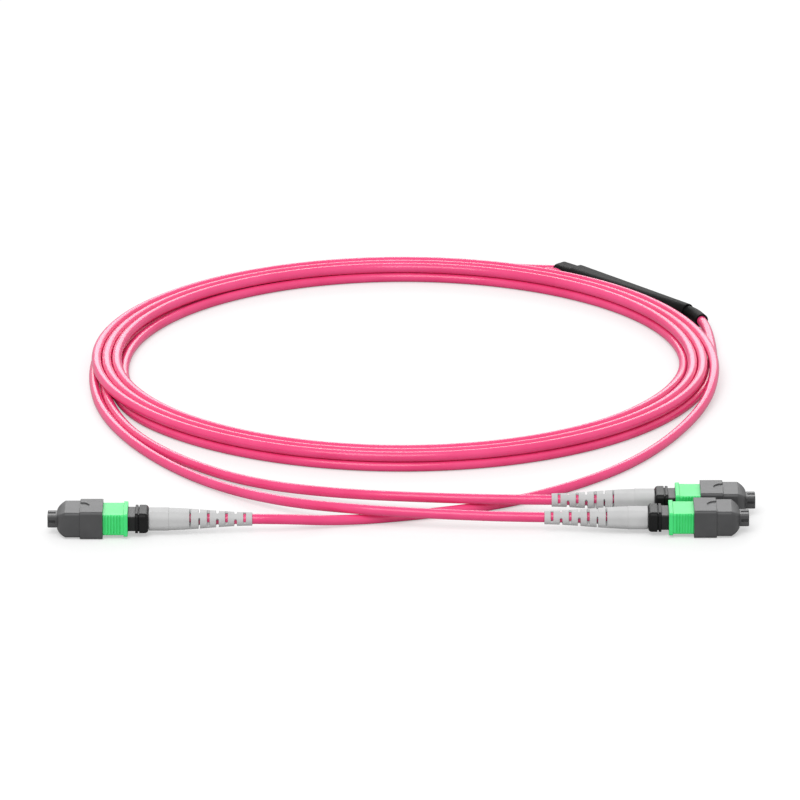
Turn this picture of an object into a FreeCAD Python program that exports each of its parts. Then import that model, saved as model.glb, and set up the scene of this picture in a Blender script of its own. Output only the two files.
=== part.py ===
import FreeCAD
import Part
import Sketcher
import math
import os

V = FreeCAD.Vector
doc = FreeCAD.newDocument("breakout_cable")

# Driving sizes in mm and degrees. Along a plug, x runs from the rear end of the boot to the nose.
SIZES = [
    ("jacket_od", "3.0"),
    ("slip_gap", "0.15"),
    ("slide_gap", "0.2"),
    ("cap_width", "=sleeve_width + 2*slip_gap + 2*cap_wall"),
    ("cap_wall", "0.45"),
    ("cap_height", "=sleeve_height + 2.2"),
    ("cap_corner", "0.85"),
    ("cap_step", "0.4"),
    ("cap_body_width", "=cap_width - 2*cap_step"),
    ("cap_body_height", "=cap_height - 2*cap_step"),
    ("cap_mouth_x", "43.63"),
    ("cap_rim_length", "6.67"),
    ("cap_body_x", "=cap_mouth_x + cap_rim_length"),
    ("cap_body_length", "4.3"),
    ("cap_shoulder_x", "=cap_body_x + cap_body_length"),
    ("cap_shoulder_mid_x", "=cap_shoulder_x + 0.9"),
    ("cap_shoulder_mid_width", "=cap_body_width - 1.0"),
    ("cap_shoulder_mid_height", "=cap_body_height - 0.9"),
    ("cap_nub_x", "=cap_shoulder_x + 2.4"),
    ("cap_nub_length", "2.8"),
    ("cap_nub_width", "5.4"),
    ("cap_nub_height", "3.8"),
    ("cap_nub_corner", "0.6"),
    ("cap_nub_foot_width", "=cap_nub_width + 0.6"),
    ("cap_nub_foot_height", "=cap_nub_height + 0.5"),
    ("cap_nub_groove", "0.9"),
    ("cap_nub_slot", "1.1"),
    ("cap_nub_groove_x", "=cap_nub_x + 0.5"),
    ("cap_nub_web", "=cap_nub_width - 1.4"),
    ("cap_sleeve_room_width", "=sleeve_width + 2*slip_gap"),
    ("cap_sleeve_room_height", "=sleeve_height + 2*slip_gap"),
    ("cap_sleeve_room_corner", "0.4"),
    ("cap_sleeve_room_depth", "=sleeve_x + sleeve_length + slip_gap - cap_mouth_x"),
    ("cap_nose_room_x", "=cap_mouth_x + cap_sleeve_room_depth"),
    ("cap_nose_room_width", "=housing_width + 2*slide_gap"),
    ("cap_nose_room_height", "=housing_height + 2*slide_gap"),
    ("cap_nose_room_depth", "=ferrule_face_x + 0.3 - cap_nose_room_x"),
    ("cap_key_room_width", "=key_width + 2*slide_gap"),
    ("cap_key_room_height", "=2*(housing_height/2 + key_height + slide_gap)"),
    ("cap_dish", "5.6"),
    ("cap_dish_depth", "0.3"),
    ("sleeve_x", "36.3"),
    ("sleeve_length", "13.5"),
    ("sleeve_width", "=housing_width + 2.4"),
    ("sleeve_height", "=housing_height + 1.7"),
    ("sleeve_corner", "0.5"),
    ("sleeve_flange_length", "1.2"),
    ("sleeve_flange_width", "=sleeve_width + 0.6"),
    ("sleeve_flange_height", "=sleeve_height + 0.7"),
    ("sleeve_hole_width", "=housing_width + 2*slide_gap"),
    ("sleeve_hole_height", "=housing_height + 2*slide_gap"),
    ("sleeve_hole_corner", "0.45"),
    ("rib_first_x", "38.35"),
    ("rib_groove", "0.42"),
    ("rib_depth", "0.3"),
    ("rib_pitch", "0.85"),
    ("rib_count", "8"),
    ("rib_inner_width", "=sleeve_width - 2*rib_depth"),
    ("rib_outer_width", "=sleeve_width + 4"),
    ("channel_depth", "0.4"),
    ("channel_width", "=sleeve_hole_width + 2*channel_depth"),
    ("channel_height", "1.3"),
    ("lug_x", "45.0"),
    ("lug_length", "0.8"),
    ("lug_height", "=channel_height - 2*slip_gap"),
    ("lug_tip_span", "=pocket_span + 2*slip_gap"),
    ("sleeve_travel", "1.9"),
    ("housing_x", "34.13"),
    ("housing_front_x", "54.0"),
    ("housing_length", "=housing_front_x - housing_x"),
    ("housing_width", "9.4"),
    ("housing_height", "4.5"),
    ("housing_corner", "0.4"),
    ("chamber_width", "=shoulder_width + 2*slip_gap"),
    ("chamber_height", "3.4"),
    ("chamber_corner", "0.3"),
    ("chamber_front_x", "=shoulder_x + shoulder_length + slip_gap"),
    ("chamber_length", "=chamber_front_x - housing_x"),
    ("window_width", "=ferrule_width + 2*slip_gap"),
    ("window_height", "=ferrule_height + 2*slip_gap"),
    ("pocket_x", "39.0"),
    ("pocket_length", "=lug_x + lug_length + slide_gap - pocket_x"),
    ("pocket_span", "=housing_width - 1.4"),
    ("key_x", "=sleeve_x + sleeve_length + 0.4"),
    ("key_length", "3.3"),
    ("key_width", "2.6"),
    ("key_height", "0.6"),
    ("notch_x", "51.2"),
    ("notch_length", "1.4"),
    ("notch_height", "2.4"),
    ("notch_depth", "0.55"),
    ("notch_span", "=housing_width - 2*notch_depth"),
    ("ferrule_width", "6.4"),
    ("ferrule_height", "2.5"),
    ("ferrule_face_x", "54.6"),
    ("ferrule_corner", "0.2"),
    ("shoulder_x", "45.0"),
    ("shoulder_length", "1.8"),
    ("shoulder_width", "7.0"),
    ("shoulder_height", "3.0"),
    ("ferrule_body_length", "=ferrule_face_x - shoulder_x - shoulder_length"),
    ("ferrule_travel", "1.0"),
    ("guide_hole", "0.7"),
    ("guide_pitch", "4.6"),
    ("guide_depth", "4.0"),
    ("ribbon_room_width", "3.6"),
    ("ribbon_room_height", "1.3"),
    ("ribbon_room_depth", "2.8"),
    ("face_angle_drop", "0.35"),
    ("keeper_x", "=shoulder_x - keeper_length"),
    ("keeper_length", "1.3"),
    ("keeper_width", "6.6"),
    ("keeper_height", "2.9"),
    ("keeper_hole_width", "4.6"),
    ("keeper_hole_height", "1.4"),
    ("spring_od", "2.9"),
    ("spring_wire", "0.35"),
    ("spring_x", "=tongue_x + tongue_length + slip_gap + spring_wire/2"),
    ("spring_height", "=keeper_x - slip_gap - spring_wire/2 - spring_x"),
    ("spring_pitch", "=spring_height/6"),
    ("small_spring_od", "0.95"),
    ("small_spring_wire", "0.18"),
    ("small_spring_x", "=pocket_x + slip_gap + small_spring_wire/2"),
    ("small_spring_height", "=lug_x - slip_gap - small_spring_wire/2 - small_spring_x"),
    ("small_spring_pitch", "=small_spring_height/9"),
    ("small_spring_y", "=(pocket_span + channel_width)/4"),
    ("collar_x", "30.25"),
    ("collar_length", "2.71"),
    ("collar_width", "=housing_width + 0.4"),
    ("collar_height", "=housing_height + 1.6"),
    ("collar_corner", "1.2"),
    ("collar_round", "1.1"),
    ("groove_x", "=collar_x + collar_length"),
    ("groove_length", "0.38"),
    ("groove_width", "=collar_width - 1.0"),
    ("groove_height", "=collar_height - 1.0"),
    ("groove_corner", "0.8"),
    ("ring_x", "=groove_x + groove_length"),
    ("ring_length", "=housing_x - ring_x"),
    ("tongue_x", "=housing_x"),
    ("tongue_length", "2.45"),
    ("tongue_width", "=chamber_width - 2*slip_gap"),
    ("tongue_height", "=chamber_height - 2*slip_gap"),
    ("barrel_x", "22.0"),
    ("barrel_od", "3.86"),
    ("barrel_length", "=collar_x - barrel_x"),
    ("barrel_bore", "2.6"),
    ("bore_length", "=tongue_x + tongue_length - barrel_x"),
    ("crimp_x", "22.6"),
    ("crimp_length", "6.8"),
    ("crimp_bore", "=barrel_od + 0.04"),
    ("crimp_od", "=crimp_bore + 0.5"),
    ("ribbon_width", "1.8"),
    ("ribbon_thickness", "0.3"),
    ("ribbon_length", "=shoulder_x + 1.2 - barrel_x"),
    ("boot_bore", "=jacket_od + 0.2"),
    ("boot_room", "=crimp_od + 0.3"),
    ("boot_end_width", "=boot_bore + 0.7"),
    ("boot_end_corner", "=boot_end_width/2 - 0.05"),
    ("boot_two_x", "7.0"),
    ("boot_two_width", "=boot_bore + 1.4"),
    ("boot_two_height", "=boot_bore + 1.05"),
    ("boot_two_corner", "2.0"),
    ("boot_three_x", "14.7"),
    ("boot_three_width", "=boot_bore + 2.8"),
    ("boot_three_height", "=boot_bore + 1.8"),
    ("boot_three_corner", "2.1"),
    ("boot_front_x", "24.4"),
    ("boot_front_width", "=boot_room + 2.5"),
    ("boot_front_height", "=boot_room + 1.0"),
    ("boot_front_corner", "2.1"),
    ("boot_grip_width", "=boot_front_width + 0.15"),
    ("boot_grip_height", "=boot_front_height + 0.15"),
    ("boot_grip_length", "=collar_x - boot_front_x"),
    ("slot_bridge", "0.85"),
    ("slot_width", "0.8"),
    ("slot_narrow", "0.45"),
    ("slot_first_x", "2.2"),
    ("slot_pitch", "2.65"),
    ("slot_roll", "50"),
    ("axis_height", "=cap_height/2"),
    ("lie", "=coil_outer_radius/95.1"),
    ("trunk_plug_x", "=-43.87*lie"),
    ("trunk_plug_y", "=-147.8*lie"),
    ("leg_a_plug_x", "=41.57*lie"),
    ("leg_a_plug_y", "=-146.65*lie"),
    ("leg_b_plug_x", "=43.87*lie"),
    ("leg_b_plug_y", "=leg_a_plug_y + max(15.46*lie; cap_width + 2)"),
    ("coil_centre_y", "=29.884*lie"),
    ("coil_outer_radius", "95.1"),
    ("turn_pitch", "=jacket_od + 0.1"),
    ("coil_inner_radius", "=coil_outer_radius - 3*turn_pitch"),
    ("coil_height", "=jacket_od + turn_pitch"),
    ("coil_corner", "1.45"),
    ("tube_height", "=jacket_od + 2.2"),
    ("tube_wall", "0.45"),
    ("tube_length", "51.0"),
    ("tube_flare", "=leg_spacing - 0.1"),
    ("tube_wide", "=tube_height + tube_flare"),
    ("tube_corner", "=tube_height/2 - 0.05"),
    ("tube_hole_height", "=tube_height - 2*tube_wall"),
    ("tube_hole_wide", "=tube_wide - 2*tube_wall"),
    ("tube_hole_corner", "=tube_hole_height/2 - 0.05"),
    ("tube_angle", "43.6"),
    ("tube_gap", "0.3"),
    ("tube_axis_radius", "=coil_outer_radius + tube_gap + tube_height/2"),
    ("entry_sleeve_od", "=tube_hole_height - 0.1"),
    ("sleeve_cable_gap", "0.1"),
    ("entry_sleeve_bore", "=jacket_od + sleeve_cable_gap"),
    ("fill_start", "6.0"),
    ("fill_end", "=tube_length - 3"),
    ("exit_sleeve_width", "=2*leg_spacing + 0.7"),
    ("exit_sleeve_height", "=tube_hole_height - 0.1"),
    ("exit_sleeve_corner", "=exit_sleeve_height/2 - 0.05"),
    ("exit_sleeve_length", "10.0"),
    ("leg_spacing", "=jacket_od + sleeve_cable_gap"),
    ("exit_hole_width", "=leg_spacing + entry_sleeve_bore"),
    ("exit_hole_corner", "=entry_sleeve_bore/2 - 0.05"),
]
sheet = doc.addObject("Spreadsheet::Sheet", "sizes")
for row, (alias, value) in enumerate(SIZES, start=1):
    sheet.set("A%d" % row, alias)
    sheet.setAlias("B%d" % row, alias)
for row, (alias, value) in enumerate(SIZES, start=1):
    sheet.set("B%d" % row, value)
doc.recompute()


def val(name):
    return float(sheet.get(name))


# Sketch helpers: each takes names of values in the sheet and binds its dimensions to them
def new_sketch(body, role, offset=None, turn=0.0, shift=None):
    sk = body.newObject("Sketcher::SketchObject", "profile")
    base = [f for f in body.Origin.OriginFeatures if f.Role == role][0]
    sk.AttachmentSupport = [(base, "")]
    sk.MapMode = "FlatFace"
    if turn:
        sk.AttachmentOffset = FreeCAD.Placement(V(0, 0, 0), FreeCAD.Rotation(V(1, 0, 0), turn))
    if offset:
        sk.setExpression("AttachmentOffset.Base.z", offset)
    if shift:
        sk.setExpression("AttachmentOffset.Base.x", shift[0])
        sk.setExpression("AttachmentOffset.Base.y", shift[1])
    return sk


def bind(sk, constraint, name, expression):
    index = sk.addConstraint(constraint)
    sk.renameConstraint(index, name)
    sk.setExpression("Constraints." + name, expression)


def rounded(sk, w, h, r):
    a = val(w) / 2
    b = val(h) / 2
    c = val(r)
    line = Part.LineSegment
    sk.addGeometry(line(V(-a + c, -b, 0), V(a - c, -b, 0)))
    sk.addGeometry(line(V(a, -b + c, 0), V(a, b - c, 0)))
    sk.addGeometry(line(V(a - c, b, 0), V(-a + c, b, 0)))
    sk.addGeometry(line(V(-a, b - c, 0), V(-a, -b + c, 0)))
    corners = [(a - c, -b + c, 270), (a - c, b - c, 0), (-a + c, b - c, 90), (-a + c, -b + c, 180)]
    for x, y, start in corners:
        circle = Part.Circle(V(x, y, 0), V(0, 0, 1), c)
        sk.addGeometry(Part.ArcOfCircle(circle, math.radians(start), math.radians(start + 90)))
    for side in range(4):
        sk.addConstraint(Sketcher.Constraint("Tangent", side, 2, 4 + side, 1))
        sk.addConstraint(Sketcher.Constraint("Tangent", 4 + side, 2, (side + 1) % 4, 1))
    sk.addConstraint(Sketcher.Constraint("Horizontal", 0))
    sk.addConstraint(Sketcher.Constraint("Horizontal", 2))
    sk.addConstraint(Sketcher.Constraint("Vertical", 1))
    sk.addConstraint(Sketcher.Constraint("Vertical", 3))
    for arc in (5, 6, 7):
        sk.addConstraint(Sketcher.Constraint("Equal", 4, arc))
    sk.addConstraint(Sketcher.Constraint("Symmetric", 4, 3, 6, 3, -1, 1))
    bind(sk, Sketcher.Constraint("Radius", 4, c), "corner", "sizes." + r)
    bind(sk, Sketcher.Constraint("DistanceX", 3, 1, 1, 1, 2 * a), "width", "sizes." + w)
    bind(sk, Sketcher.Constraint("DistanceY", 0, 1, 2, 1, 2 * b), "height", "sizes." + h)
    return sk


def box_profile(sk, w, h):
    a = val(w) / 2
    b = val(h) / 2
    points = [V(-a, -b, 0), V(a, -b, 0), V(a, b, 0), V(-a, b, 0)]
    for i in range(4):
        sk.addGeometry(Part.LineSegment(points[i], points[(i + 1) % 4]))
    for i in range(4):
        sk.addConstraint(Sketcher.Constraint("Coincident", i, 2, (i + 1) % 4, 1))
    sk.addConstraint(Sketcher.Constraint("Horizontal", 0))
    sk.addConstraint(Sketcher.Constraint("Horizontal", 2))
    sk.addConstraint(Sketcher.Constraint("Vertical", 1))
    sk.addConstraint(Sketcher.Constraint("Vertical", 3))
    sk.addConstraint(Sketcher.Constraint("Symmetric", 0, 1, 1, 2, -1, 1))
    bind(sk, Sketcher.Constraint("DistanceX", 0, 1, 0, 2, 2 * a), "width", "sizes." + w)
    bind(sk, Sketcher.Constraint("DistanceY", 1, 1, 1, 2, 2 * b), "height", "sizes." + h)
    return sk


def round_profile(sk, *diameters):
    for i, name in enumerate(diameters):
        sk.addGeometry(Part.Circle(V(0, 0, 0), V(0, 0, 1), val(name) / 2))
        sk.addConstraint(Sketcher.Constraint("Coincident", i, 3, -1, 1))
        bind(sk, Sketcher.Constraint("Diameter", i, val(name)), "d%d" % i, "sizes." + name)
    return sk


def pair_profile(sk, start, length, inner, outer):
    # two mirrored boxes beside the x axis, from half of inner to half of outer
    x0 = val(start)
    x1 = x0 + val(length)
    y0 = val(inner) / 2
    y1 = val(outer) / 2
    for n, side in enumerate((1, -1)):
        k = 4 * n
        points = [V(x0, side * y0, 0), V(x1, side * y0, 0), V(x1, side * y1, 0), V(x0, side * y1, 0)]
        for i in range(4):
            sk.addGeometry(Part.LineSegment(points[i], points[(i + 1) % 4]))
        for i in range(4):
            sk.addConstraint(Sketcher.Constraint("Coincident", k + i, 2, k + (i + 1) % 4, 1))
        sk.addConstraint(Sketcher.Constraint("Horizontal", k))
        sk.addConstraint(Sketcher.Constraint("Horizontal", k + 2))
        sk.addConstraint(Sketcher.Constraint("Vertical", k + 1))
        sk.addConstraint(Sketcher.Constraint("Vertical", k + 3))
        low = (-1, 1, k, 1) if side == 1 else (k, 1, -1, 1)
        high = (-1, 1, k + 2, 1) if side == 1 else (k + 2, 1, -1, 1)
        bind(sk, Sketcher.Constraint("DistanceX", -1, 1, k, 1, x0), "start%d" % n, "sizes." + start)
        bind(sk, Sketcher.Constraint("DistanceX", k, 1, k, 2, x1 - x0), "length%d" % n, "sizes." + length)
        bind(sk, Sketcher.Constraint("DistanceY", *low, y0), "inner%d" % n, "sizes." + inner + "/2")
        bind(sk, Sketcher.Constraint("DistanceY", *high, y1), "outer%d" % n, "sizes." + outer + "/2")
    return sk


def pad(body, sk, length, midplane=False):
    f = body.newObject("PartDesign::Pad", "pad")
    f.Profile = sk
    f.Midplane = midplane
    f.setExpression("Length", "sizes." + length)
    return f


def pocket(body, sk, length, midplane=False):
    f = body.newObject("PartDesign::Pocket", "pocket")
    f.Profile = sk
    f.Midplane = midplane
    f.Reversed = not midplane
    f.setExpression("Length", length)
    return f


def loft(body, kind, sketches, ruled):
    f = body.newObject(kind, "loft")
    f.Profile = sketches[0]
    f.Sections = sketches[1:]
    f.Ruled = ruled
    return f


def repeat(body, feature, sk, length, count):
    f = body.newObject("PartDesign::LinearPattern", "pattern")
    f.Originals = [feature]
    f.Direction = (sk, ["H_Axis"])
    f.setExpression("Length", length)
    f.setExpression("Occurrences", count)
    body.Tip = f
    return f


def round_edges(body, feature, radius, chosen):
    doc.recompute()
    names = ["Edge%d" % (i + 1) for i, e in enumerate(feature.Shape.Edges) if chosen(e)]
    f = body.newObject("PartDesign::Fillet", "rounding")
    f.Base = (feature, names)
    f.Radius = radius
    doc.recompute()
    return f


def ring_edges(feature_x, reach_y, reach_z):
    # outer edges that lie in one plane across the plug
    def chosen(edge):
        box = edge.BoundBox
        flat = abs(box.XMin - feature_x) < 0.01 and abs(box.XMax - feature_x) < 0.01
        far_y = max(abs(box.YMin), abs(box.YMax)) > reach_y
        far_z = max(abs(box.ZMin), abs(box.ZMax)) > reach_z
        return flat and (far_y or far_z)
    return chosen


parts = []


def new_body(label, placement):
    body = doc.addObject("PartDesign::Body", label)
    body.Label = label
    body.Placement = placement
    parts.append(body)
    return body


def at(x):
    return "sizes." + x


# Dust cap: stepped hood over the nose, with a thumb dish and a grooved grip nub
def make_cap(label, placement):
    b = new_body(label, placement)
    sk = rounded(new_sketch(b, "YZ_Plane", at("cap_mouth_x")), "cap_width", "cap_height", "cap_corner")
    rim = pad(b, sk, "cap_rim_length")
    x1 = val("cap_body_x")
    round_edges(b, rim, 0.25, ring_edges(x1, 0, 0))
    sk = new_sketch(b, "YZ_Plane", at("cap_body_x"))
    pad(b, rounded(sk, "cap_body_width", "cap_body_height", "cap_corner"), "cap_body_length")
    s1 = new_sketch(b, "YZ_Plane", at("cap_shoulder_x"))
    rounded(s1, "cap_body_width", "cap_body_height", "cap_corner")
    s2 = new_sketch(b, "YZ_Plane", at("cap_shoulder_mid_x"))
    rounded(s2, "cap_shoulder_mid_width", "cap_shoulder_mid_height", "cap_corner")
    s3 = new_sketch(b, "YZ_Plane", at("cap_nub_x"))
    rounded(s3, "cap_nub_foot_width", "cap_nub_foot_height", "cap_nub_corner")
    loft(b, "PartDesign::AdditiveLoft", [s1, s2, s3], False)
    sk = new_sketch(b, "YZ_Plane", at("cap_nub_x"))
    nub = pad(b, rounded(sk, "cap_nub_width", "cap_nub_height", "cap_nub_corner"), "cap_nub_length")
    tip = val("cap_nub_x") + val("cap_nub_length")
    round_edges(b, nub, 0.3, ring_edges(tip, 0, 0))
    sk = new_sketch(b, "XY_Plane")
    pair_profile(sk, "cap_nub_groove_x", "cap_nub_length", "cap_nub_web", "cap_width")
    pocket(b, sk, "sizes.cap_nub_groove", True)
    sk = new_sketch(b, "YZ_Plane", at("cap_nub_groove_x"), shift=("0", "sizes.cap_nub_height/2"))
    pocket(b, box_profile(sk, "cap_nub_slot", "cap_nub_slot"), "sizes.cap_nub_length")
    sk = new_sketch(b, "YZ_Plane", at("cap_mouth_x"))
    rounded(sk, "cap_sleeve_room_width", "cap_sleeve_room_height", "cap_sleeve_room_corner")
    pocket(b, sk, "sizes.cap_sleeve_room_depth")
    sk = new_sketch(b, "YZ_Plane", at("cap_nose_room_x"))
    rounded(sk, "cap_nose_room_width", "cap_nose_room_height", "cap_sleeve_room_corner")
    pocket(b, sk, "sizes.cap_nose_room_depth")
    sk = new_sketch(b, "YZ_Plane", at("cap_nose_room_x"))
    box_profile(sk, "cap_key_room_width", "cap_key_room_height")
    pocket(b, sk, "sizes.cap_nose_room_depth - 0.5")
    sk = new_sketch(b, "XY_Plane", "sizes.cap_height/2 - sizes.cap_dish_depth", shift=(at("cap_body_x"), "0"))
    pocket(b, round_profile(sk, "cap_dish"), "5")
    return b


# Pull sleeve: ribbed box with a rear flange, spring channels and two lugs inside
def make_sleeve(label, placement):
    b = new_body(label, placement)
    sk = rounded(new_sketch(b, "YZ_Plane", at("sleeve_x")), "sleeve_width", "sleeve_height", "sleeve_corner")
    pad(b, sk, "sleeve_length")
    sk = new_sketch(b, "YZ_Plane", at("sleeve_x"))
    rounded(sk, "sleeve_flange_width", "sleeve_flange_height", "sleeve_corner")
    flange = pad(b, sk, "sleeve_flange_length")
    x0 = val("sleeve_x")
    round_edges(b, flange, 0.2, ring_edges(x0, 0, 0))
    sk = new_sketch(b, "YZ_Plane", at("sleeve_x"))
    rounded(sk, "sleeve_hole_width", "sleeve_hole_height", "sleeve_hole_corner")
    pocket(b, sk, "sizes.sleeve_length")
    sk = new_sketch(b, "YZ_Plane", at("sleeve_x"))
    pocket(b, box_profile(sk, "channel_width", "channel_height"), "sizes.lug_x - sizes.sleeve_x")
    sk = new_sketch(b, "XY_Plane")
    pair_profile(sk, "lug_x", "lug_length", "lug_tip_span", "channel_width")
    pad(b, sk, "lug_height", True)
    sk = new_sketch(b, "XY_Plane")
    pair_profile(sk, "rib_first_x", "rib_groove", "rib_inner_width", "rib_outer_width")
    groove = pocket(b, sk, "3*sizes.sleeve_height", True)
    repeat(b, groove, sk, "sizes.rib_pitch*(sizes.rib_count - 1)", "sizes.rib_count")
    return b


# Inner housing: nose, key, latch notches, spring chamber and the two side spring pockets
def make_housing(label, placement):
    b = new_body(label, placement)
    sk = new_sketch(b, "YZ_Plane", at("housing_x"))
    shell = pad(b, rounded(sk, "housing_width", "housing_height", "housing_corner"), "housing_length")
    round_edges(b, shell, 0.2, ring_edges(val("housing_front_x"), 0, 0))
    sk = new_sketch(b, "YZ_Plane", at("key_x"), shift=("0", "sizes.housing_height/2"))
    key = box_profile(sk, "key_width", "key_height")
    key.setExpression("Constraints.height", "2*sizes.key_height")
    pad(b, key, "key_length")
    sk = new_sketch(b, "YZ_Plane", at("housing_x"))
    rounded(sk, "chamber_width", "chamber_height", "chamber_corner")
    pocket(b, sk, "sizes.chamber_length")
    sk = new_sketch(b, "YZ_Plane", at("housing_x"))
    pocket(b, box_profile(sk, "window_width", "window_height"), "2*sizes.housing_length")
    sk = new_sketch(b, "XY_Plane")
    pair_profile(sk, "pocket_x", "pocket_length", "pocket_span", "rib_outer_width")
    pocket(b, sk, "sizes.channel_height", True)
    sk = new_sketch(b, "XY_Plane")
    pair_profile(sk, "notch_x", "notch_length", "notch_span", "rib_outer_width")
    pocket(b, sk, "sizes.notch_height", True)
    return b


# Rear body: collar, groove and ring, tongue into the housing, barrel for the crimp
def make_rear_body(label, placement):
    b = new_body(label, placement)
    sk = rounded(new_sketch(b, "YZ_Plane", at("collar_x")), "collar_width", "collar_height", "collar_corner")
    collar = pad(b, sk, "collar_length")
    round_edges(b, collar, val("collar_round"), ring_edges(val("collar_x"), 0, 0))
    sk = rounded(new_sketch(b, "YZ_Plane", at("groove_x")), "groove_width", "groove_height", "groove_corner")
    pad(b, sk, "groove_length")
    sk = rounded(new_sketch(b, "YZ_Plane", at("ring_x")), "collar_width", "collar_height", "collar_corner")
    pad(b, sk, "ring_length")
    sk = rounded(new_sketch(b, "YZ_Plane", at("tongue_x")), "tongue_width", "tongue_height", "chamber_corner")
    pad(b, sk, "tongue_length")
    sk = round_profile(new_sketch(b, "YZ_Plane", at("barrel_x")), "barrel_od")
    pad(b, sk, "barrel_length")
    sk = round_profile(new_sketch(b, "YZ_Plane", at("barrel_x")), "barrel_bore")
    pocket(b, sk, "sizes.bore_length")
    return b


# Ferrule: shoulder, body, slanted face, guide holes and the room for the ribbon
def make_ferrule(label, placement):
    b = new_body(label, placement)
    sk = new_sketch(b, "YZ_Plane", at("shoulder_x"))
    pad(b, rounded(sk, "shoulder_width", "shoulder_height", "ferrule_corner"), "shoulder_length")
    sk = new_sketch(b, "YZ_Plane", "sizes.shoulder_x + sizes.shoulder_length")
    pad(b, rounded(sk, "ferrule_width", "ferrule_height", "ferrule_corner"), "ferrule_body_length")
    sk = new_sketch(b, "XZ_Plane")
    x1 = val("ferrule_face_x")
    h = val("ferrule_height") / 2
    d = val("face_angle_drop")
    points = [V(x1 - d, h + 0.01, 0), V(x1 + 1, h + 0.01, 0), V(x1 + 1, -h, 0), V(x1, -h, 0)]
    for i in range(4):
        sk.addGeometry(Part.LineSegment(points[i], points[(i + 1) % 4]))
    for i in range(4):
        sk.addConstraint(Sketcher.Constraint("Coincident", i, 2, (i + 1) % 4, 1))
    bind(sk, Sketcher.Constraint("DistanceX", -1, 1, 2, 2, x1), "face", "sizes.ferrule_face_x")
    pocket(b, sk, "2*sizes.ferrule_width", True)
    sk = new_sketch(b, "YZ_Plane", "sizes.ferrule_face_x - sizes.guide_depth")
    for i, side in enumerate((1, -1)):
        y = side * val("guide_pitch") / 2
        sk.addGeometry(Part.Circle(V(y, 0, 0), V(0, 0, 1), val("guide_hole") / 2))
        sk.addConstraint(Sketcher.Constraint("PointOnObject", i, 3, -1))
        bind(sk, Sketcher.Constraint("Diameter", i, val("guide_hole")), "hole%d" % i, "sizes.guide_hole")
        ends = (-1, 1, i, 3) if side == 1 else (i, 3, -1, 1)
        bind(sk, Sketcher.Constraint("DistanceX", *ends, abs(y)), "from%d" % i, "sizes.guide_pitch/2")
    pocket(b, sk, "2*sizes.guide_depth")
    sk = new_sketch(b, "YZ_Plane", at("shoulder_x"))
    pocket(b, box_profile(sk, "ribbon_room_width", "ribbon_room_height"), "sizes.ribbon_room_depth")
    return b


def make_keeper(label, placement):
    b = new_body(label, placement)
    sk = new_sketch(b, "YZ_Plane", at("keeper_x"))
    pad(b, rounded(sk, "keeper_width", "keeper_height", "ferrule_corner"), "keeper_length")
    sk = new_sketch(b, "YZ_Plane", at("keeper_x"))
    pocket(b, box_profile(sk, "keeper_hole_width", "keeper_hole_height"), "sizes.keeper_length")
    return b


# Springs: round wire on a helix about the x direction of the plug
def make_spring(label, placement, od, wire, start, height, pitch, side):
    b = new_body(label, placement)
    sk = b.newObject("Sketcher::SketchObject", "wire")
    base = [f for f in b.Origin.OriginFeatures if f.Role == "XY_Plane"][0]
    sk.AttachmentSupport = [(base, "")]
    sk.MapMode = "FlatFace"
    sk.setExpression("AttachmentOffset.Base.x", at(start))
    sk.setExpression("AttachmentOffset.Base.y", side)
    mean = (val(od) - val(wire)) / 2
    sk.addGeometry(Part.Circle(V(0, mean, 0), V(0, 0, 1), val(wire) / 2))
    sk.addConstraint(Sketcher.Constraint("PointOnObject", 0, 3, -2))
    bind(sk, Sketcher.Constraint("Diameter", 0, val(wire)), "wire", "sizes." + wire)
    distance = Sketcher.Constraint("DistanceY", -1, 1, 0, 3, mean)
    bind(sk, distance, "mean", "(sizes.%s - sizes.%s)/2" % (od, wire))
    f = b.newObject("PartDesign::AdditiveHelix", "coils")
    f.Profile = sk
    f.ReferenceAxis = (sk, ["H_Axis"])
    f.Mode = 0
    f.setExpression("Pitch", "sizes." + pitch)
    f.setExpression("Height", "sizes." + height)
    return b


def make_crimp(label, placement):
    b = new_body(label, placement)
    sk = round_profile(new_sketch(b, "YZ_Plane", at("crimp_x")), "crimp_od", "crimp_bore")
    pad(b, sk, "crimp_length")
    return b


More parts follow.
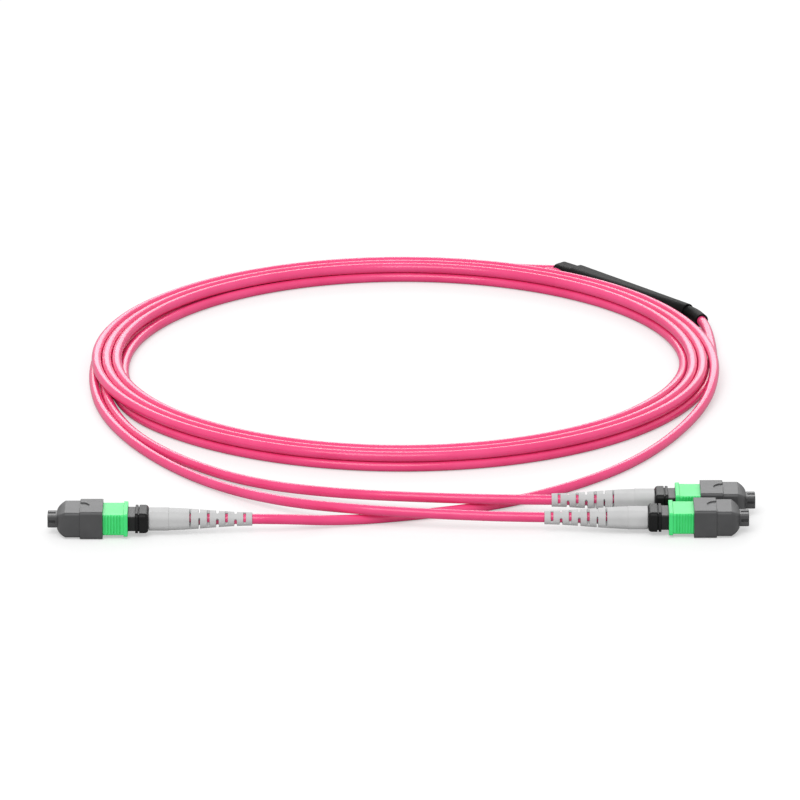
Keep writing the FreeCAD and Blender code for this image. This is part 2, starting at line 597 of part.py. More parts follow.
# Boot: lofted bend relief, bore and crimp room, two sets of slots a quarter turn apart
def slot_profile(sk, number, width):
    # two mirrored slots with round bottoms, open to the outside of the boot
    x = "sizes.slot_first_x + %d*sizes.slot_pitch" % number
    x0 = val("slot_first_x") + number * val("slot_pitch")
    w = val(width) / 2
    low = val("slot_bridge") + w
    for n, side in enumerate((1, -1)):
        k = 4 * n
        centre = V(x0, side * low, 0)
        first = 180 if side == 1 else 0
        circle = Part.Circle(centre, V(0, 0, 1), w)
        sk.addGeometry(Part.ArcOfCircle(circle, math.radians(first), math.radians(first + 180)))
        a = V(x0 + side * w, side * low, 0)
        c = V(x0 + side * w, side * 6, 0)
        d = V(x0 - side * w, side * 6, 0)
        e = V(x0 - side * w, side * low, 0)
        sk.addGeometry(Part.LineSegment(a, c))
        sk.addGeometry(Part.LineSegment(c, d))
        sk.addGeometry(Part.LineSegment(d, e))
        sk.addConstraint(Sketcher.Constraint("Tangent", k, 2, k + 1, 1))
        sk.addConstraint(Sketcher.Constraint("Coincident", k + 1, 2, k + 2, 1))
        sk.addConstraint(Sketcher.Constraint("Coincident", k + 2, 2, k + 3, 1))
        sk.addConstraint(Sketcher.Constraint("Tangent", k + 3, 2, k, 1))
        sk.addConstraint(Sketcher.Constraint("Vertical", k + 1))
        sk.addConstraint(Sketcher.Constraint("Horizontal", k + 2))
        bind(sk, Sketcher.Constraint("Radius", k, w), "half%d" % n, "sizes." + width + "/2")
        bind(sk, Sketcher.Constraint("DistanceX", -1, 1, k, 3, x0), "start%d" % n, x)
        ends = (-1, 1, k, 3) if side == 1 else (k, 3, -1, 1)
        depth = "sizes.slot_bridge + sizes." + width + "/2"
        bind(sk, Sketcher.Constraint("DistanceY", *ends, low), "bridge%d" % n, depth)
        ends = (-1, 1, k + 1, 2) if side == 1 else (k + 1, 2, -1, 1)
        sk.addConstraint(Sketcher.Constraint("DistanceY", *ends, 6))
    return sk


def make_boot(label, placement, roll):
    b = new_body(label, placement)
    s1 = new_sketch(b, "YZ_Plane")
    rounded(s1, "boot_end_width", "boot_end_width", "boot_end_corner")
    s2 = new_sketch(b, "YZ_Plane", at("boot_two_x"))
    rounded(s2, "boot_two_width", "boot_two_height", "boot_two_corner")
    s3 = new_sketch(b, "YZ_Plane", at("boot_three_x"))
    rounded(s3, "boot_three_width", "boot_three_height", "boot_three_corner")
    s4 = new_sketch(b, "YZ_Plane", at("boot_front_x"))
    rounded(s4, "boot_front_width", "boot_front_height", "boot_front_corner")
    loft(b, "PartDesign::AdditiveLoft", [s1, s2, s3, s4], False)
    sk = new_sketch(b, "YZ_Plane", at("boot_front_x"))
    rounded(sk, "boot_grip_width", "boot_grip_height", "boot_front_corner")
    grip = pad(b, sk, "boot_grip_length")
    round_edges(b, grip, 0.3, ring_edges(val("collar_x"), 0, 0))
    sk = round_profile(new_sketch(b, "YZ_Plane"), "boot_bore")
    pocket(b, sk, "sizes.collar_x")
    sk = round_profile(new_sketch(b, "YZ_Plane", at("barrel_x")), "boot_room")
    pocket(b, sk, "2*sizes.barrel_length")
    sets = [
        (roll, 0, "slot_width", 3),
        (roll + 90, 1, "slot_width", 2),
        (roll, 6, "slot_narrow", 1),
        (roll + 90, 5, "slot_narrow", 1),
    ]
    for turn, number, width, count in sets:
        sk = slot_profile(new_sketch(b, "XZ_Plane", turn=turn), number, width)
        cut = pocket(b, sk, "20", True)
        if count > 1:
            repeat(b, cut, sk, "2*sizes.slot_pitch*%d" % (count - 1), str(count))
    return b


def make_ribbon(label, placement):
    b = new_body(label, placement)
    sk = new_sketch(b, "YZ_Plane", at("barrel_x"))
    pad(b, box_profile(sk, "ribbon_width", "ribbon_thickness"), "ribbon_length")
    return b


# Three plugs, each built from the same values and set down by its own placement
axis_z = val("axis_height")
coil_y = val("coil_centre_y")
PLUGS = [("trunk", 180, -1), ("leg_a", 0, 1), ("leg_b", 0, 1)]
for name, turn, hand in PLUGS:
    x = val(name + "_plug_x")
    y = val(name + "_plug_y") + coil_y
    place = FreeCAD.Placement(V(x, y, axis_z), FreeCAD.Rotation(V(0, 0, 1), turn))
    make_cap(name + "_dust_cap", place)
    make_sleeve(name + "_pull_sleeve", place)
    make_housing(name + "_inner_housing", place)
    make_rear_body(name + "_rear_body", place)
    make_ferrule(name + "_ferrule", place)
    make_keeper(name + "_pin_keeper", place)
    wide = ("spring_od", "spring_wire", "spring_x", "spring_height", "spring_pitch", "0")
    make_spring(name + "_ferrule_spring", place, *wide)
    small = ("small_spring_od", "small_spring_wire", "small_spring_x", "small_spring_height", "small_spring_pitch")
    make_spring(name + "_sleeve_spring_left", place, *small, "sizes.small_spring_y")
    make_spring(name + "_sleeve_spring_right", place, *small, "-sizes.small_spring_y")
    make_crimp(name + "_crimp_ring", place)
    make_boot(name + "_boot", place, hand * val("slot_roll"))
    make_ribbon(name + "_fibre_ribbon", place)

# Breakout: flared tube lying against the coil, potting, entry and exit sleeves
angle = math.radians(val("tube_angle"))
normal = V(math.cos(angle), math.sin(angle), 0)
along = V(-math.sin(angle), math.cos(angle), 0)
rho = val("tube_axis_radius")
tube_z = val("tube_height") / 2
half = val("tube_length") / 2
corner = normal * rho - along * half + V(0, coil_y, tube_z)
tube_place = FreeCAD.Placement(corner, FreeCAD.Rotation(V(0, 0, 1), 90 + val("tube_angle")))


def tube_point(x, y):
    return tube_place.multVec(V(x, y, 0))


b = new_body("breakout_tube", tube_place)
s1 = rounded(new_sketch(b, "YZ_Plane"), "tube_height", "tube_height", "tube_corner")
s2 = new_sketch(b, "YZ_Plane", at("tube_length"), shift=("-sizes.tube_flare/2", "0"))
rounded(s2, "tube_wide", "tube_height", "tube_corner")
loft(b, "PartDesign::AdditiveLoft", [s1, s2], True)
s1 = rounded(new_sketch(b, "YZ_Plane"), "tube_hole_height", "tube_hole_height", "tube_hole_corner")
s2 = new_sketch(b, "YZ_Plane", at("tube_length"), shift=("-sizes.tube_flare/2", "0"))
rounded(s2, "tube_hole_wide", "tube_hole_height", "tube_hole_corner")
loft(b, "PartDesign::SubtractiveLoft", [s1, s2], True)

b = new_body("breakout_potting", tube_place)
s1 = rounded(new_sketch(b, "YZ_Plane"), "tube_hole_height", "tube_hole_height", "tube_hole_corner")
s2 = new_sketch(b, "YZ_Plane", at("tube_length"), shift=("-sizes.tube_flare/2", "0"))
rounded(s2, "tube_hole_wide", "tube_hole_height", "tube_hole_corner")
loft(b, "PartDesign::AdditiveLoft", [s1, s2], True)
sk = rounded(new_sketch(b, "YZ_Plane"), "cap_width", "cap_width", "tube_corner")
pocket(b, sk, "sizes.fill_start")
sk = rounded(new_sketch(b, "YZ_Plane", at("fill_end")), "cap_width", "cap_width", "tube_corner")
pocket(b, sk, "sizes.tube_length")

b = new_body("leg_exit_sleeve", tube_place)
sk = new_sketch(b, "YZ_Plane", at("fill_end"), shift=("-sizes.tube_flare/2", "0"))
rounded(sk, "exit_sleeve_width", "exit_sleeve_height", "exit_sleeve_corner")
pad(b, sk, "exit_sleeve_length")
sk = new_sketch(b, "YZ_Plane", at("fill_end"), shift=("-sizes.tube_flare/2", "0"))
rounded(sk, "exit_hole_width", "entry_sleeve_bore", "exit_hole_corner")
pocket(b, sk, "2*sizes.exit_sleeve_length")


# Cords: straight runs joined by tangent arcs, swept with a round section
def cord_wire(label, points):
    edges = []
    last = points[0]
    tightest = 1e9
    for i in range(1, len(points) - 1):
        before = points[i - 1] - points[i]
        after = points[i + 1] - points[i]
        turn = math.pi - before.getAngle(after)
        cut = 0.45 * min(before.Length, after.Length)
        radius = cut / math.tan(turn / 2)
        tightest = min(tightest, radius)
        u = before.normalize()
        w = after.normalize()
        start = points[i] + u * cut
        end = points[i] + w * cut
        middle = (u + w).normalize()
        reach = radius / math.cos(turn / 2) - radius
        edges.append(Part.LineSegment(last, start).toShape())
        edges.append(Part.Arc(start, points[i] + middle * reach, end).toShape())
        last = end
    edges.append(Part.LineSegment(last, points[-1]).toShape())
    wire = Part.Wire(edges)
    spine = doc.addObject("Part::Feature", label + "_line")
    spine.Shape = wire
    print("%s length %.1f mm, tightest radius %.1f mm" % (label, wire.Length, tightest))
    return spine


def section(label, points, diameter):
    ring = doc.addObject("Part::Circle", label)
    ring.setExpression("Radius", "sizes." + diameter + "/2")
    turn = FreeCAD.Rotation(V(0, 0, 1), points[1] - points[0])
    ring.Placement = FreeCAD.Placement(points[0], turn)
    return ring


def sweep(label, spine, ring):
    tube = doc.addObject("Part::Sweep", label)
    tube.Sections = [ring]
    tube.Spine = (spine, ["Edge%d" % (i + 1) for i in range(len(spine.Shape.Edges))])
    tube.Solid = True
    tube.Frenet = False
    return tube


def make_cord(label, points):
    spine = cord_wire(label, points)
    tube = sweep(label, spine, section(label + "_section", points, "jacket_od"))
    tube.Label = label
    parts.append(tube)
    doc.recompute()
    flat = math.pi * val("jacket_od") ** 2 / 4 * spine.Shape.Length
    print("%s volume over section times length %.4f" % (label, tube.Shape.Volume / flat))
    return tube


def floor_points(rows):
    # the lie of the cables grows and shrinks with the coil
    return [V(x * lie, y * lie + coil_y, z) for x, y, z in rows]


# Cable ends sit on the rear faces of the barrels; heights are of the cable's middle
lie = val("lie")
low = val("jacket_od") / 2
high = low + val("turn_pitch")
over = 3.4 * low / 1.5
inside = val("barrel_x")


def plug_point(name, x, y=0.0):
    turn = -1 if name == "trunk" else 1
    return V(val(name + "_plug_x") + turn * x, val(name + "_plug_y") + coil_y + y, axis_z)



TRUNK_TAIL = [plug_point("trunk", inside), plug_point("trunk", 10, -0.03), plug_point("trunk", -8)] + floor_points([
    (-17.8, -142.1, low + 0.05),
    (4.1, -137.0, low),
    (29.6, -127.3, low),
    (50.9, -111.2, low),
    (68.0, -91.6, low),
    (81.1, -67.4, low),
    (91.2, -40.1, low),
    (94.5, -12.4, low),
])
make_cord("trunk_tail", TRUNK_TAIL)

# The coil is one closed solid with the outer shape of the five lying turns
b = new_body("trunk_coil", FreeCAD.Placement(V(0, coil_y, 0), FreeCAD.Rotation()))
sk = new_sketch(b, "XZ_Plane", shift=("(sizes.coil_outer_radius + sizes.coil_inner_radius)/2", "sizes.coil_height/2"))
rounded(sk, "cap_width", "coil_height", "coil_corner")
sk.setExpression("Constraints.width", "sizes.coil_outer_radius - sizes.coil_inner_radius")
turned = b.newObject("PartDesign::Revolution", "turns")
turned.Profile = sk
turned.ReferenceAxis = ([f for f in b.Origin.OriginFeatures if f.Role == "Z_Axis"][0], [""])
turned.Angle = 360

bend = math.radians(24)
mouth = (-2.7, 0.0)
out_end = (mouth[0] - 7.0 * math.cos(bend), mouth[1] + 7.0 * math.sin(bend))
lead_end = (mouth[0] - 10.0 * math.cos(bend), mouth[1] + 10.0 * math.sin(bend))
TRUNK_LEAD = [tube_point(val("fill_start"), 0), tube_point(*mouth), tube_point(*lead_end)] + floor_points([
    (97.0, 18.0, over),
    (98.2, -2.6, high + 0.05),
    (91.0, -21.6, high),
])
make_cord("trunk_lead", TRUNK_LEAD)

ENTRY = [tube_point(val("fill_start"), 0), tube_point(*mouth), tube_point(*out_end)]
spine = cord_wire("trunk_entry_sleeve", ENTRY)
skin = sweep("entry_skin", spine, section("entry_skin_section", ENTRY, "entry_sleeve_od"))
core = sweep("entry_core", spine, section("entry_core_section", ENTRY, "entry_sleeve_bore"))
entry = doc.addObject("Part::Cut", "trunk_entry_sleeve")
entry.Label = "trunk_entry_sleeve"
entry.Base = skin
entry.Tool = core
parts.append(entry)

offset = -val("tube_flare") / 2
near = offset + val("leg_spacing") / 2
far = offset - val("leg_spacing") / 2
leg_x = val("fill_end")
LEG_A = [tube_point(leg_x, far), tube_point(leg_x + 15, far)] + floor_points([
    (32.0, 101.8, low + 0.1),
    (14.0, 102.0, low),
    (-10.5, 99.5, low),
    (-34.5, 91.5, low),
    (-57.0, 77.5, low),
    (-76.0, 58.5, low),
    (-89.3, 34.5, low),
    (-94.1, 7.4, low),
    (-94.2, -17.0, low),
    (-90.8, -43.5, low),
    (-82.1, -69.6, low),
    (-68.8, -94.0, low),
    (-52.9, -114.0, low + 0.3),
    (-34.5, -131.6, over + 0.3),
    (-13.6, -141.3, over + 1.5),
    (11.5, -145.8, over + 1.5),
]) + [plug_point("leg_a", -2.8), plug_point("leg_a", inside)]
make_cord("leg_a_cable", LEG_A)

LEG_B = [tube_point(leg_x, near), tube_point(leg_x + 15.4, near)] + floor_points([
    (29.6, 98.5, low + 0.1),
    (12.0, 98.6, low),
    (-11.5, 95.8, low),
    (-34.0, 87.5, low),
    (-55.0, 74.7, low),
    (-73.1, 56.8, low),
    (-86.0, 33.3, low),
    (-90.8, 7.2, low),
    (-90.8, -16.6, low),
    (-87.3, -42.3, low),
    (-78.8, -67.5, low),
    (-64.2, -90.7, low),
    (-44.3, -109.2, low + 0.1),
    (-18.7, -123.9, over + 0.2),
    (11.3, -131.4, over + 1.45),
]) + [plug_point("leg_b", -4), plug_point("leg_b", inside)]
make_cord("leg_b_cable", LEG_B)

# Checks, then one file per sub-part
doc.recompute()
for obj in doc.Objects:
    if "Invalid" in obj.State or "Error" in obj.State:
        raise RuntimeError(obj.Name + " is not valid: " + str(obj.State))
os.makedirs("parts", exist_ok=True)
for part in parts:
    shape = part.Shape
    if shape.isNull() or not shape.isValid() or not shape.Solids:
        raise RuntimeError(part.Label + " has no valid solid")
    shape.exportStep("parts/" + part.Label + ".step")
    box = shape.BoundBox
    print("%-28s %8.1f mm3  solids %d  x %.2f %.2f  y %.2f %.2f  z %.2f %.2f" % (
        part.Label, shape.Volume, len(shape.Solids), box.XMin, box.XMax, box.YMin, box.YMax, box.ZMin, box.ZMax))
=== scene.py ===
# %% [markdown]
# The imported model of the breakout cable comes in first, as a fixed frame in metres.

# %% Load the frame
import math

import bmesh
import bpy
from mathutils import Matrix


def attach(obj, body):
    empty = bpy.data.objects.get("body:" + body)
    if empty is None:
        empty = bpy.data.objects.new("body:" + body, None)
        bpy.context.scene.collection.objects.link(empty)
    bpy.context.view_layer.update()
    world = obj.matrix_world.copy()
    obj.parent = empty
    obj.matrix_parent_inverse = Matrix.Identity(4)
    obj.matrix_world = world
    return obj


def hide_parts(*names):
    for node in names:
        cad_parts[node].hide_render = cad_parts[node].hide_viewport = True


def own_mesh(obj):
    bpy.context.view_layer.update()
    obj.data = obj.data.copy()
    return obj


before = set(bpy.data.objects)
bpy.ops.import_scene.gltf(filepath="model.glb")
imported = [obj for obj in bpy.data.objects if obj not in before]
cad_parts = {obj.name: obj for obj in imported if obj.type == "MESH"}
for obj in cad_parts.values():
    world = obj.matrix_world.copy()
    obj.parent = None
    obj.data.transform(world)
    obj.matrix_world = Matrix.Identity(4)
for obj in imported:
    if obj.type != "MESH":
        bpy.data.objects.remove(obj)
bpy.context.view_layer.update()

scene = bpy.context.scene

# %% [markdown]
# The picture looks down on the coil from the front at about nineteen degrees, from far away.
# A short lens could be used close by, but it would swell the near plugs; a long lens far off keeps them even.
# The aim is the centre of the coil, and a small shift puts it where the photograph has it.

# %% Camera
COIL_Y = 0.029884
ELEVATION = math.radians(18.68)
DISTANCE = 3.1335
PICTURE_PX = 800
SHIFT_PX = (-2.3, -29.4)
camera_data = bpy.data.cameras.new("long_lens")
camera_data.sensor_width = 36.0
camera_data.lens = 460.6
camera_data.shift_x = SHIFT_PX[0] / PICTURE_PX
camera_data.shift_y = SHIFT_PX[1] / PICTURE_PX
camera_data.clip_end = 20.0
camera = bpy.data.objects.new("long_lens", camera_data)
camera.location = (0.0, COIL_Y - DISTANCE * math.cos(ELEVATION), DISTANCE * math.sin(ELEVATION))
camera.rotation_euler = (math.pi / 2 - ELEVATION, 0.0, 0.0)
scene.collection.objects.link(camera)
scene.camera = camera
print("camera at", tuple(round(v, 3) for v in camera.location))

# %% [markdown]
# One function turns the sRGB hex values, as a paint program shows them, into the linear numbers of a shader.
# A second adds a node, sets its fields and links its inputs, which keeps each finish readable. The last two
# make what most finishes share: a noise whose size is given in millimetres, and a blend of two close tones.

# %% Colour and node helpers
MM = 0.001


def linear(hex_value):
    channels = [int(hex_value[i:i + 2], 16) / 255 for i in (1, 3, 5)]
    return tuple(c / 12.92 if c <= 0.04045 else ((c + 0.055) / 1.055) ** 2.4 for c in channels) + (1.0,)


def add(tree, kind, inputs, **fields):
    node = tree.nodes.new(kind)
    for name, value in fields.items():
        setattr(node, name, value)
    for name, value in inputs.items():
        if isinstance(value, bpy.types.NodeSocket):
            tree.links.new(value, node.inputs[name])
        else:
            node.inputs[name].default_value = value
    return node


def blank(name):
    material = bpy.data.materials.new(name)
    material.use_nodes = True
    tree = material.node_tree
    tree.nodes.clear()
    return material, tree


def noise(tree, size_mm, detail):
    where = add(tree, "ShaderNodeTexCoord", {})
    return add(tree, "ShaderNodeTexNoise", {
        "Vector": where.outputs["Object"], "Scale": 1 / (size_mm * MM), "Detail": detail})


def two_tones(tree, factor, dark, light):
    ramp = add(tree, "ShaderNodeValToRGB", {"Fac": factor})
    for element, position, tone in zip(ramp.color_ramp.elements, (0.3, 0.7), (dark, light)):
        element.position = position
        element.color = linear(tone)
    return ramp


print("mid grey reads", round(linear("#808080")[0], 3))

# %% [markdown]
# A pale sheet stands for the studio floor, and large soft lamps stand for softboxes.
# One hard lamp would give black shadows. Here the surround is even, a soft key stands above the viewer, and a
# bright panel stands behind. The panel draws the thin white line along the top of each strand and brightens
# the tops of the dark caps, because a smooth plastic mirrors most at a flat angle.
# The paper is a light grey that is lifted to white for the camera only. White paper would throw so much light
# back that the undersides lose their shade and a pink rim lies round every cable.

# %% Floor and light
PAPER_LIFT = 0.45
FLOOR_REACH = 6.0
FLOOR_DROP = 0.0001
SURROUND_LEVEL = 0.71
WHITE = (1.0, 1.0, 1.0, 1.0)
material, tree = blank("white_paper_floor")
shader = add(tree, "ShaderNodeBsdfDiffuse", {"Color": linear("#c2c2c2")})
seen = add(tree, "ShaderNodeLightPath", {})
lift = add(tree, "ShaderNodeMath", {0: seen.outputs["Is Camera Ray"], 1: PAPER_LIFT}, operation="MULTIPLY")
glow = add(tree, "ShaderNodeEmission", {"Strength": lift.outputs[0]})
paper = add(tree, "ShaderNodeAddShader", {0: shader.outputs[0], 1: glow.outputs[0]})
add(tree, "ShaderNodeOutputMaterial", {"Surface": paper.outputs[0]})
floor_mesh = bpy.data.meshes.new("studio_floor")
shape = bmesh.new()
bmesh.ops.create_grid(shape, x_segments=1, y_segments=1, size=FLOOR_REACH)
shape.to_mesh(floor_mesh)
shape.free()
floor = bpy.data.objects.new("studio_floor", floor_mesh)
floor.data.materials.append(material)
floor.location.z = -FLOOR_DROP
scene.collection.objects.link(floor)

world = bpy.data.worlds.new("studio")
world.use_nodes = True
world.node_tree.nodes.clear()
surround = add(world.node_tree, "ShaderNodeBackground", {"Color": WHITE, "Strength": SURROUND_LEVEL})
add(world.node_tree, "ShaderNodeOutputWorld", {"Surface": surround.outputs[0]})
scene.world = world
scene.view_settings.view_transform = "Standard"

# name, place and size in metres, power in watts
LAMPS = [
    ("key_softbox", (-0.5, -2.0, 2.4), (2.0, 2.0), 46.0),
    ("back_panel", (0.0, 3.2, 1.5), (2.6, 1.5), 36.0),
]
for name, place, size, power in LAMPS:
    lamp = bpy.data.lights.new(name, "AREA")
    lamp.shape = "RECTANGLE"
    lamp.size, lamp.size_y = size
    lamp.energy = power
    holder = bpy.data.objects.new(name, lamp)
    holder.location = place
    aim = holder.location.copy()
    aim.y -= COIL_Y
    holder.rotation_euler = aim.to_track_quat("Z", "Y").to_euler()
    scene.collection.objects.link(holder)
print("lamps:", [row[0] for row in LAMPS])

# %% [markdown]
# The jacket of the cable is soft PVC, pushed out round the fibres through a die and cooled in water.
# That leaves it smooth, with almost no grain, so a bump would only make it look rough.
# A flat pink would look like a drawing, so the tone changes slowly along the cable, and the gloss changes a
# little every few millimetres, as it does where hands and rollers have touched the skin.

# %% Jacket finish
TONE_MM = 12
HANDLED_MM = 4
jacket, tree = blank("magenta_pvc_jacket")
tone = noise(tree, TONE_MM, 2.0)
tint = two_tones(tree, tone.outputs["Fac"], "#ee427d", "#f54e88")
handled = noise(tree, HANDLED_MM, 2.0)
satin = add(tree, "ShaderNodeMapRange", {"Value": handled.outputs["Fac"], "To Min": 0.16, "To Max": 0.22})
shader = add(tree, "ShaderNodeBsdfPrincipled", {
    "Base Color": tint.outputs["Color"], "Roughness": satin.outputs["Result"], "IOR": 1.5})
add(tree, "ShaderNodeOutputMaterial", {"Surface": shader.outputs[0]})
print("finish:", jacket.name)

# %% [markdown]
# A cord is one fixed length of something flexible, so each cable is one smooth NURBS curve of round section.
# A chain of straight tubes would look like bent wire. The order and the end flag are set after the points are
# there, because a spline that has no points yet forgets them.

# %% Cable helper
JACKET_OD = 3.0 * MM
CABLE_NODES = ("trunk_tail", "trunk_coil", "trunk_lead", "trunk_entry_sleeve", "leg_a_cable", "leg_b_cable")


def lay_cable(name, points):
    curve = bpy.data.curves.new(name, "CURVE")
    curve.dimensions = "3D"
    spline = curve.splines.new("NURBS")
    spline.points.add(len(points) - 1)
    for point, (x, y, z) in zip(spline.points, points):
        point.co = (x, y, z, 1.0)
    spline.order_u = 3
    spline.use_endpoint_u = True
    curve.resolution_u = 10
    curve.bevel_depth = JACKET_OD / 2
    curve.bevel_resolution = 8
    curve.use_fill_caps = True
    cable = bpy.data.objects.new(name, curve)
    cable.data.materials.append(jacket)
    scene.collection.objects.link(cable)
    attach(cable, "cable")
    return cable


def plug_nodes(side):
    return [node for name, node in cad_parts.items()
            if name.startswith(side) and name not in CABLE_NODES]


print("plug pieces:", len(plug_nodes("trunk_")))

# %% [markdown]
# The trunk leaves the breakout, goes five times round and runs forward to its plug.
# Two turns lie on the table and three on top of them, as in a cable that is wound by hand: on the right every
# turn steps over by one place, the second climbs up inside the others, and the last comes down over the
# first. The turns could all be true circles, but on the left the legs lie beside the two lower ones and push
# them in. A control polygon with a point each fifteen degrees lies a little outside its curve, so its radius
# is that much larger.

# %% Trunk
LEAD = [
    (0.08442, 0.08335, 0.00260),
    (0.09042, 0.07705, 0.00260),
    (0.09377, 0.06762, 0.00260),
    (0.09525, 0.04926, 0.00180),
    (0.09519, 0.03155, 0.00150),
    (0.09208, 0.00693, 0.00150),
    (0.08216, -0.01660, 0.00150),
]
TAIL = [
    (0.09128, 0.05434, 0.00460),
    (0.09539, 0.03155, 0.00455),
    (0.09505, 0.01055, 0.00390),
    (0.09120, -0.01022, 0.00210),
    (0.08110, -0.03752, 0.00150),
    (0.06800, -0.06172, 0.00150),
    (0.05090, -0.08132, 0.00150),
    (0.02960, -0.09742, 0.00150),
    (0.00410, -0.10712, 0.00150),
    (-0.01780, -0.11222, 0.00155),
    (-0.03587, -0.11792, 0.00420),
    (-0.05387, -0.11795, 0.00420),
    (-0.06587, -0.11792, 0.00420),
]
# radius and height of the turns, from the lower outer one to the top outer one, in millimetres
PLACES = [(93.55, 1.5), (87.35, 1.5), (87.35, 4.6), (90.45, 4.6), (93.55, 4.6)]
# by angle in degrees, how many millimetres the first turn moves in: past the legs on the left, along the
# middle at the back, and to the second turn's place on the right
FIRST_IN = {210: 0.1, 195: 3.1, 180: 5.5, 165: 5.7, 150: 5.4, 135: 4.8, 120: 4.1, 105: 3.4, 90: 3.1,
            75: 3.1, 60: 3.1, 45: 3.1, 30: 3.1, 15: 3.2, 0: 3.6, -15: 4.6, -30: 5.8}
# how far the second gives way to the first, and the radius and height where it climbs up
SECOND_IN = {210: 0.6, 195: 1.6, 180: 2.4, 165: 2.4, 150: 2.0, 135: 1.4, 120: 0.7, 105: 0.2}
CLIMB = {15: (86.9, 1.6), 0: (86.1, 2.3), -15: (85.9, 3.5), -30: (86.6, 4.4)}
# how far the top turns step out on the right
TOP_OUT = {15: 0.3, 0: 1.2, -15: 2.5, -30: 3.0}
# a turn runs from the first angle down to the last one; the top outer turn stops where the tail begins
FIRST_ANGLE, LAST_ANGLE, TAIL_ANGLE, STEP = 315, -30, 30, 15
LAST_TURN = len(PLACES) - 1
turns = []
for turn, (radius, height) in enumerate(PLACES):
    for angle in range(FIRST_ANGLE, LAST_ANGLE - 1, -STEP):
        r, z = radius, height
        if turn == 0:
            r -= FIRST_IN.get(angle, 0.0)
        elif turn == 1:
            r, z = CLIMB.get(angle, (r - SECOND_IN.get(angle, 0.0), z))
        elif turn < LAST_TURN:
            r += TOP_OUT.get(angle, 0.0)
        if turn < LAST_TURN or angle >= TAIL_ANGLE:
            turns.append((math.radians(angle), r, z))
spread = 1 / math.cos(math.radians(STEP / 2))
coil = []
for turned, r, z in turns:
    reach = r * spread * MM
    coil.append((reach * math.cos(turned), COIL_Y + reach * math.sin(turned), z * MM))
trunk = lay_cable("trunk_cable", LEAD + coil + TAIL)
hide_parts("trunk_lead", "trunk_coil", "trunk_tail")
print("trunk points:", len(LEAD + coil + TAIL))

# %% [markdown]
# Two legs come out of the other end of the breakout side by side. They follow the coil round the back on the
# table, slip under its outer turn on the left, then leave it and run forward to the two plugs on the right.
# Each passes over the trunk's tail in a long low hump.

# %% Legs
LEG_A = [
    (0.05766, 0.11586, 0.00260),
    (0.05283, 0.12093, 0.00260),
    (0.04350, 0.12388, 0.00180),
    (0.02750, 0.12708, 0.00150),
    (0.00350, 0.13048, 0.00150),
    (-0.01050, 0.12938, 0.00150),
    (-0.03450, 0.12138, 0.00150),
    (-0.05700, 0.10738, 0.00150),
    (-0.07600, 0.08838, 0.00150),
    (-0.08930, 0.06438, 0.00150),
    (-0.09410, 0.03728, 0.00150),
    (-0.09420, 0.01288, 0.00150),
    (-0.09080, -0.01362, 0.00150),
    (-0.08210, -0.03972, 0.00150),
    (-0.06880, -0.06412, 0.00150),
    (-0.05290, -0.08412, 0.00180),
    (-0.03450, -0.10172, 0.00370),
    (-0.01360, -0.11142, 0.00490),
    (0.01150, -0.11592, 0.00490),
    (0.03877, -0.11677, 0.00420),
    (0.06357, -0.11677, 0.00420),
]
LEG_B = [
    (0.05542, 0.11373, 0.00260),
    (0.05031, 0.11908, 0.00260),
    (0.04150, 0.12068, 0.00180),
    (0.02640, 0.12368, 0.00150),
    (0.00340, 0.12708, 0.00150),
    (-0.01150, 0.12568, 0.00150),
    (-0.03400, 0.11738, 0.00150),
    (-0.05500, 0.10458, 0.00150),
    (-0.07310, 0.08668, 0.00150),
    (-0.08600, 0.06318, 0.00150),
    (-0.09100, 0.03708, 0.00150),
    (-0.09115, 0.01323, 0.00150),
    (-0.08782, -0.01262, 0.00150),
    (-0.07932, -0.03802, 0.00150),
    (-0.06420, -0.06082, 0.00150),
    (-0.04430, -0.07932, 0.00160),
    (-0.01870, -0.09402, 0.00360),
    (0.01130, -0.10152, 0.00485),
    (0.03987, -0.10131, 0.00420),
    (0.06587, -0.10131, 0.00420),
]
for side, points, length in (("leg_a", LEG_A, 0.462), ("leg_b", LEG_B, 0.442)):
    leg = lay_cable(side + "_cord", points)
    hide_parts(side + "_cable")
print("legs laid")

# %% [markdown]
# The grey boots, black housings, green sleeves, caps and the breakout are the carried-over CAD pieces.
# They are all moulded plastics that differ in colour, gloss and the grain of their moulds, so one function
# takes those facts. The grain is the texture that spark erosion leaves in a mould, mostly a quarter of a
# millimetre or so; the tube, the sleeves and the potting have a coarser one.
# No moulded edge is as sharp as a knife, so the shading of the edges is rounded by a third of a millimetre.

# %% Moulded plastics
EDGE_MM = 0.3
CLOUD_MM = 5


def moulded(name, dark, light, roughness, grain_mm, depth_mm, shine=0.5):
    material, tree = blank(name)
    cloud = noise(tree, CLOUD_MM, 3.0)
    tint = two_tones(tree, cloud.outputs["Fac"], dark, light)
    grain = noise(tree, grain_mm, 2.0)
    rounded = add(tree, "ShaderNodeBevel", {"Radius": EDGE_MM * MM}, samples=6)
    height = add(tree, "ShaderNodeBump", {
        "Strength": 0.35, "Distance": depth_mm * MM, "Height": grain.outputs["Fac"],
        "Normal": rounded.outputs["Normal"]})
    gloss = add(tree, "ShaderNodeMapRange", {
        "Value": grain.outputs["Fac"], "To Min": roughness - 0.06, "To Max": roughness + 0.06})
    shader = add(tree, "ShaderNodeBsdfPrincipled", {
        "Base Color": tint.outputs["Color"], "Roughness": gloss.outputs["Result"],
        "Specular IOR Level": shine, "Normal": height.outputs["Normal"]})
    add(tree, "ShaderNodeOutputMaterial", {"Surface": shader.outputs[0]})
    return material


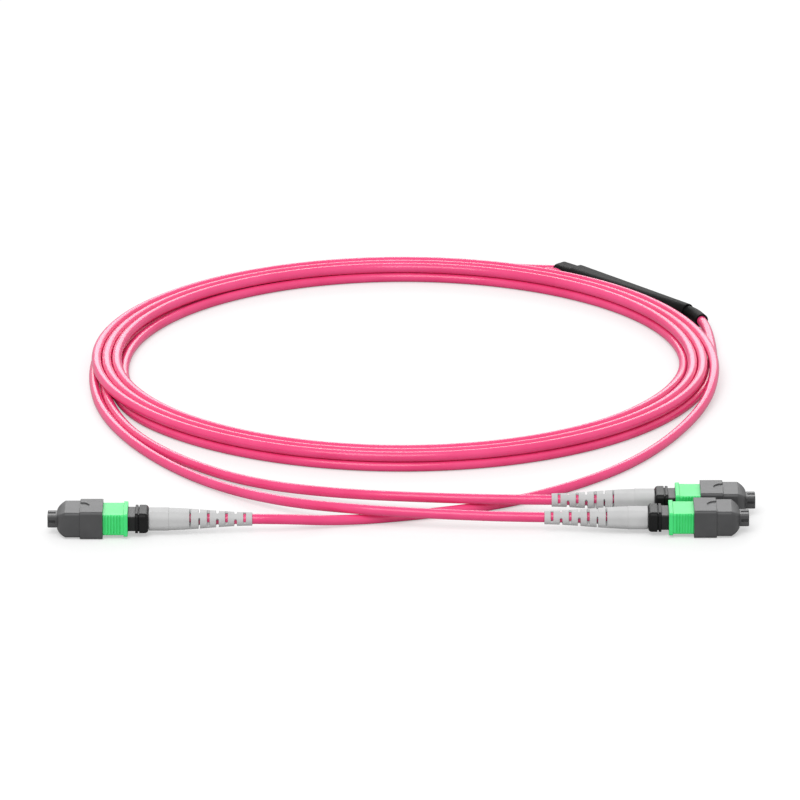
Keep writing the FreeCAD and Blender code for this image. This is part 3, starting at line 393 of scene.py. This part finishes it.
# by a word in the node's name: finish, two tones, roughness, grain and its depth in millimetres, shine
FINISHES = {
    "boot": moulded("grey_tpe_boot", "#bfbfbf", "#c7c7c7", 0.6, 0.3, 0.015, 0.25),
    "pull_sleeve": moulded("green_pbt_sleeve", "#40e07a", "#4ce884", 0.42, 0.3, 0.01, 0.4),
    "inner_housing": moulded("black_pei_housing", "#191919", "#212122", 0.4, 0.3, 0.008, 0.3),
    "rear_body": moulded("black_pbt_rear_body", "#161616", "#1d1d1e", 0.38, 0.3, 0.008, 0.16),
    "dust_cap": moulded("grey_pe_dust_cap", "#444445", "#4b4b4c", 0.44, 0.25, 0.015),
    "ferrule": moulded("dark_pps_ferrule", "#26241f", "#322f29", 0.3, 0.15, 0.004),
    "fibre_ribbon": moulded("aqua_coated_ribbon", "#66b9bd", "#7cc9cb", 0.35, 0.25, 0.004),
    "breakout_tube": moulded("black_polyolefin_tube", "#111111", "#181818", 0.5, 0.6, 0.01, 0.08),
    "entry_sleeve": moulded("black_shrink_sleeve", "#0f0f0f", "#161616", 0.5, 0.5, 0.012, 0.08),
    "exit_sleeve": moulded("black_shrink_sleeve_wide", "#0f0f0f", "#161616", 0.5, 0.5, 0.012, 0.08),
    "breakout_potting": moulded("black_epoxy_potting", "#0b0b0b", "#121212", 0.2, 1.5, 0.01),
}
print("plastics:", len(FINISHES))

# %% [markdown]
# The springs and the pin keepers are spring steel, and the crimp rings are nickel-plated brass. A metal has
# no colour of its own under the gloss, so it gets full metallic and only its reflection is tinted. The marks
# of drawing and forming are too fine to see at this size, so an uneven gloss stands for them.

# %% Metals
MARKS_MM = 0.25


def drawn_metal(name, tint, roughness):
    material, tree = blank(name)
    marks = noise(tree, MARKS_MM, 2.0)
    gloss = add(tree, "ShaderNodeMapRange", {
        "Value": marks.outputs["Fac"], "To Min": roughness - 0.08, "To Max": roughness + 0.08})
    shader = add(tree, "ShaderNodeBsdfPrincipled", {
        "Base Color": linear(tint), "Metallic": 1.0, "Roughness": gloss.outputs["Result"]})
    add(tree, "ShaderNodeOutputMaterial", {"Surface": shader.outputs[0]})
    return material


FINISHES["spring"] = drawn_metal("drawn_spring_steel", "#c8c8cc", 0.3)
FINISHES["keeper"] = FINISHES["spring"]
FINISHES["crimp_ring"] = drawn_metal("nickel_plated_brass", "#d6d0c4", 0.34)
for name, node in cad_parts.items():
    for word, finish in FINISHES.items():
        if word in name:
            node.data.materials.clear()
            node.data.materials.append(finish)
print("nodes finished")

# %% [markdown]
# Each plug has springs that shorten when something is pushed: two as the green sleeve is drawn back, one as
# the ferrule goes in. A stiff spring would be cut through by the piece that presses on it. Here each spring
# gets a mesh of its own and its reach from its fixed end is measured; the travels are given but not applied.

# %% Springs
# plug, fixed end of the sleeve springs and of the ferrule spring, in metres along X
SEATS = [("trunk", -0.08302, -0.0806), ("leg_a", 0.08072, 0.0783), ("leg_b", 0.08302, 0.0806)]
SLEEVE_TRAVEL = 1.9 * MM
FERRULE_TRAVEL = 1.0 * MM
squashed = []
for side, sleeve_seat, ferrule_seat in SEATS:
    for ending, joint, seat, travel in (
            ("sleeve_spring_left", "sleeve_slide", sleeve_seat, SLEEVE_TRAVEL),
            ("sleeve_spring_right", "sleeve_slide", sleeve_seat, SLEEVE_TRAVEL),
            ("ferrule_spring", "ferrule_float", ferrule_seat, FERRULE_TRAVEL)):
        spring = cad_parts[side + "_" + ending]
        reach = max(abs((spring.matrix_world @ vertex.co).x - seat) for vertex in spring.data.vertices)
        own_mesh(spring)
        squashed.append(round(reach / MM, 2))
print("springs, length in millimetres:", squashed)
